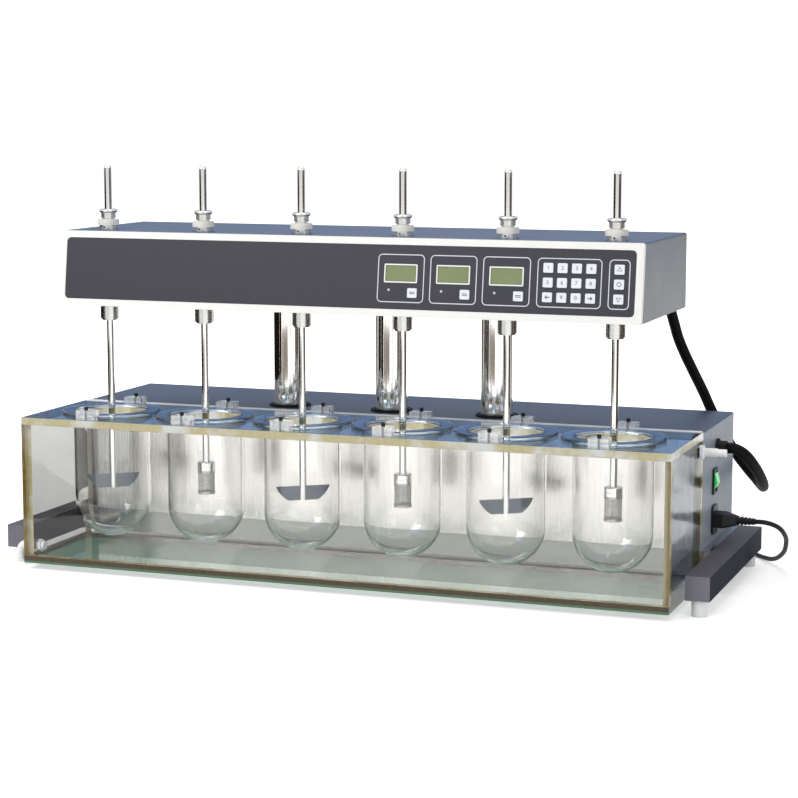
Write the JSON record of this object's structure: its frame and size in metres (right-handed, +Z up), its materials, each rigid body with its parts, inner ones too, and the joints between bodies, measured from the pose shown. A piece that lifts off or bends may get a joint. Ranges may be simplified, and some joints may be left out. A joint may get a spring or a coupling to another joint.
{
  "type": "dissolution tester",
  "caption": "Bench dissolution tester: a lifting drive head turns paddles and baskets in round-bottomed glass vessels that hang in a clear water bath before a cabinet.",
  "frame": {"origin": "middle of the footprint, on the bench, without the lead and the conduit", "axes": "+X along the row of stations to the right, +Y to the back, +Z up"},
  "size_m": [1.0631, 0.5182, 0.564],
  "materials": {
    "frame_paint": "charcoal enamel, low gloss",
    "grey_paint": "light grey enamel, fine texture",
    "blue_paint": "blue-grey enamel, semi gloss",
    "brushed_plate": "vertically brushed stainless plate",
    "inner_steel": "plain zinc-plated steel",
    "chrome": "hard chrome, mirror polished",
    "turned_steel": "fine turned stainless steel",
    "paddle_steel": "polished stainless steel",
    "white_bezel": "white gloss",
    "panel_film": "dark grey satin film on aluminium",
    "key_white": "white satin keys",
    "board": "circuit board with green displays",
    "white_nylon": "white nylon",
    "black_rubber": "black rubber",
    "black_plastic": "black moulded plastic",
    "lead_jacket": "black lead jacket",
    "belt_rubber": "belt rubber",
    "rocker_green": "green translucent rocker",
    "acrylic": "clear polished acrylic sheet",
    "vessel_glass": "clear borosilicate glass"
  },
  "bodies": {
    "base": {"base_frame": "frame_paint", "feet": "white_nylon", "bath_tank": "acrylic", "vessel_plate": "acrylic", "vessels": "vessel_glass", "vessel_clamps": "acrylic", "bath_fittings": "white_nylon", "cabinet_cover": "grey_paint", "cabinet_front": "brushed_plate", "rubber_seals": "black_rubber", "lift_unit": "inner_steel", "circulation_pump": "inner_steel", "switch_bezel": "black_plastic", "power_inlet": "black_plastic", "cord_connector": "black_plastic", "power_cord": "lead_jacket", "cord_coil": "lead_jacket", "mains_plug": "black_plastic", "conduit": "lead_jacket"},
    "head": {"lift_columns": "chrome", "head_chassis": "inner_steel", "head_cover": "blue_paint", "front_bezel": "white_bezel", "control_panel": "panel_film", "display_board": "board", "bearing_housings": "inner_steel", "drive_motor": "inner_steel", "drive_belt": "belt_rubber"},
    "rocker": {"rocker_switch": "rocker_green"},
    "motor_pulley": {"motor_pulley": "turned_steel"},
    "spindle_1": {"spindle_1": "turned_steel"},
    "shaft_1": {"paddle_shaft_1": "paddle_steel"},
    "spindle_2": {"spindle_2": "turned_steel"},
    "shaft_2": {"basket_shaft_2": "paddle_steel"},
    "spindle_3": {"spindle_3": "turned_steel"},
    "shaft_3": {"paddle_shaft_3": "paddle_steel"},
    "spindle_4": {"spindle_4": "turned_steel"},
    "shaft_4": {"basket_shaft_4": "paddle_steel"},
    "spindle_5": {"spindle_5": "turned_steel"},
    "shaft_5": {"paddle_shaft_5": "paddle_steel"},
    "spindle_6": {"spindle_6": "turned_steel"},
    "shaft_6": {"basket_shaft_6": "paddle_steel"},
    "select_key_1": {"select_key_1": "key_white"},
    "select_key_2": {"select_key_2": "key_white"},
    "select_key_3": {"select_key_3": "key_white"},
    "keypad_key_1": {"keypad_key_1": "key_white"},
    "keypad_key_2": {"keypad_key_2": "key_white"},
    "keypad_key_3": {"keypad_key_3": "key_white"},
    "keypad_key_4": {"keypad_key_4": "key_white"},
    "keypad_key_5": {"keypad_key_5": "key_white"},
    "keypad_key_6": {"keypad_key_6": "key_white"},
    "keypad_key_7": {"keypad_key_7": "key_white"},
    "keypad_key_8": {"keypad_key_8": "key_white"},
    "keypad_key_9": {"keypad_key_9": "key_white"},
    "keypad_key_10": {"keypad_key_10": "key_white"},
    "keypad_key_11": {"keypad_key_11": "key_white"},
    "keypad_key_12": {"keypad_key_12": "key_white"},
    "lift_key_up": {"lift_key_up": "key_white"},
    "lift_key_stop": {"lift_key_stop": "key_white"},
    "lift_key_down": {"lift_key_down": "key_white"}
  },
  "joints": [
    {"name": "head_lift", "type": "slide", "parent": "base", "child": "head", "axis": [0, 0, 1], "range_m": [-0.042, 0.116], "deforming": ["conduit"]},
    {"name": "rocker_tilt", "type": "hinge", "parent": "base", "child": "rocker", "pos_m": [0.454, 0.069, 0.137], "axis": [0, 1, 0], "range_deg": [-16, 0]},
    {"name": "spindle_1_spin", "type": "hinge", "parent": "head", "child": "spindle_1", "pos_m": [-0.365, -0.109, 0.44], "axis": [0, 0, 1], "continuous": true},
    {"name": "spindle_2_spin", "type": "hinge", "parent": "head", "child": "spindle_2", "pos_m": [-0.219, -0.109, 0.44], "axis": [0, 0, 1], "continuous": true},
    {"name": "spindle_3_spin", "type": "hinge", "parent": "head", "child": "spindle_3", "pos_m": [-0.073, -0.109, 0.44], "axis": [0, 0, 1], "continuous": true},
    {"name": "spindle_4_spin", "type": "hinge", "parent": "head", "child": "spindle_4", "pos_m": [0.073, -0.109, 0.44], "axis": [0, 0, 1], "continuous": true},
    {"name": "spindle_5_spin", "type": "hinge", "parent": "head", "child": "spindle_5", "pos_m": [0.219, -0.109, 0.44], "axis": [0, 0, 1], "continuous": true},
    {"name": "spindle_6_spin", "type": "hinge", "parent": "head", "child": "spindle_6", "pos_m": [0.365, -0.109, 0.44], "axis": [0, 0, 1], "continuous": true},
    {"name": "motor_spin", "type": "hinge", "parent": "head", "child": "motor_pulley", "pos_m": [-0.292, -0.109, 0.45], "axis": [0, 0, 1], "continuous": true},
    {"name": "shaft_1_height", "type": "slide", "parent": "spindle_1", "child": "shaft_1", "axis": [0, 0, 1], "range_m": [-0.015, 0.015]},
    {"name": "shaft_2_height", "type": "slide", "parent": "spindle_2", "child": "shaft_2", "axis": [0, 0, 1], "range_m": [-0.015, 0.015]},
    {"name": "shaft_3_height", "type": "slide", "parent": "spindle_3", "child": "shaft_3", "axis": [0, 0, 1], "range_m": [-0.015, 0.015]},
    {"name": "shaft_4_height", "type": "slide", "parent": "spindle_4", "child": "shaft_4", "axis": [0, 0, 1], "range_m": [-0.015, 0.015]},
    {"name": "shaft_5_height", "type": "slide", "parent": "spindle_5", "child": "shaft_5", "axis": [0, 0, 1], "range_m": [-0.015, 0.015]},
    {"name": "shaft_6_height", "type": "slide", "parent": "spindle_6", "child": "shaft_6", "axis": [0, 0, 1], "range_m": [-0.015, 0.015]},
    {"name": "select_key_1_press", "type": "slide", "parent": "head", "child": "select_key_1", "axis": [0, 0.9907, -0.136], "range_m": [0, 0.001], "stiffness_N_per_m": 800, "springref_m": -0.0005},
    {"name": "select_key_2_press", "type": "slide", "parent": "head", "child": "select_key_2", "axis": [0, 0.9907, -0.136], "range_m": [0, 0.001], "stiffness_N_per_m": 800, "springref_m": -0.0005},
    {"name": "select_key_3_press", "type": "slide", "parent": "head", "child": "select_key_3", "axis": [0, 0.9907, -0.136], "range_m": [0, 0.001], "stiffness_N_per_m": 800, "springref_m": -0.0005},
    {"name": "keypad_key_1_press", "type": "slide", "parent": "head", "child": "keypad_key_1", "axis": [0, 0.9907, -0.136], "range_m": [0, 0.001], "stiffness_N_per_m": 800, "springref_m": -0.0005},
    {"name": "keypad_key_2_press", "type": "slide", "parent": "head", "child": "keypad_key_2", "axis": [0, 0.9907, -0.136], "range_m": [0, 0.001], "stiffness_N_per_m": 800, "springref_m": -0.0005},
    {"name": "keypad_key_3_press", "type": "slide", "parent": "head", "child": "keypad_key_3", "axis": [0, 0.9907, -0.136], "range_m": [0, 0.001], "stiffness_N_per_m": 800, "springref_m": -0.0005},
    {"name": "keypad_key_4_press", "type": "slide", "parent": "head", "child": "keypad_key_4", "axis": [0, 0.9907, -0.136], "range_m": [0, 0.001], "stiffness_N_per_m": 800, "springref_m": -0.0005},
    {"name": "keypad_key_5_press", "type": "slide", "parent": "head", "child": "keypad_key_5", "axis": [0, 0.9907, -0.136], "range_m": [0, 0.001], "stiffness_N_per_m": 800, "springref_m": -0.0005},
    {"name": "keypad_key_6_press", "type": "slide", "parent": "head", "child": "keypad_key_6", "axis": [0, 0.9907, -0.136], "range_m": [0, 0.001], "stiffness_N_per_m": 800, "springref_m": -0.0005},
    {"name": "keypad_key_7_press", "type": "slide", "parent": "head", "child": "keypad_key_7", "axis": [0, 0.9907, -0.136], "range_m": [0, 0.001], "stiffness_N_per_m": 800, "springref_m": -0.0005},
    {"name": "keypad_key_8_press", "type": "slide", "parent": "head", "child": "keypad_key_8", "axis": [0, 0.9907, -0.136], "range_m": [0, 0.001], "stiffness_N_per_m": 800, "springref_m": -0.0005},
    {"name": "keypad_key_9_press", "type": "slide", "parent": "head", "child": "keypad_key_9", "axis": [0, 0.9907, -0.136], "range_m": [0, 0.001], "stiffness_N_per_m": 800, "springref_m": -0.0005},
    {"name": "keypad_key_10_press", "type": "slide", "parent": "head", "child": "keypad_key_10", "axis": [0, 0.9907, -0.136], "range_m": [0, 0.001], "stiffness_N_per_m": 800, "springref_m": -0.0005},
    {"name": "keypad_key_11_press", "type": "slide", "parent": "head", "child": "keypad_key_11", "axis": [0, 0.9907, -0.136], "range_m": [0, 0.001], "stiffness_N_per_m": 800, "springref_m": -0.0005},
    {"name": "keypad_key_12_press", "type": "slide", "parent": "head", "child": "keypad_key_12", "axis": [0, 0.9907, -0.136], "range_m": [0, 0.001], "stiffness_N_per_m": 800, "springref_m": -0.0005},
    {"name": "lift_key_up_press", "type": "slide", "parent": "head", "child": "lift_key_up", "axis": [0, 0.9907, -0.136], "range_m": [0, 0.001], "stiffness_N_per_m": 800, "springref_m": -0.0005},
    {"name": "lift_key_stop_press", "type": "slide", "parent": "head", "child": "lift_key_stop", "axis": [0, 0.9907, -0.136], "range_m": [0, 0.001], "stiffness_N_per_m": 800, "springref_m": -0.0005},
    {"name": "lift_key_down_press", "type": "slide", "parent": "head", "child": "lift_key_down", "axis": [0, 0.9907, -0.136], "range_m": [0, 0.001], "stiffness_N_per_m": 800, "springref_m": -0.0005}
  ],
  "couplings": [
    {"joint": "spindle_2_spin", "follows": "spindle_1_spin", "ratio": 1},
    {"joint": "spindle_3_spin", "follows": "spindle_1_spin", "ratio": 1},
    {"joint": "spindle_4_spin", "follows": "spindle_1_spin", "ratio": 1},
    {"joint": "spindle_5_spin", "follows": "spindle_1_spin", "ratio": 1},
    {"joint": "spindle_6_spin", "follows": "spindle_1_spin", "ratio": 1},
    {"joint": "motor_spin", "follows": "spindle_1_spin", "ratio": 1}
  ]
}
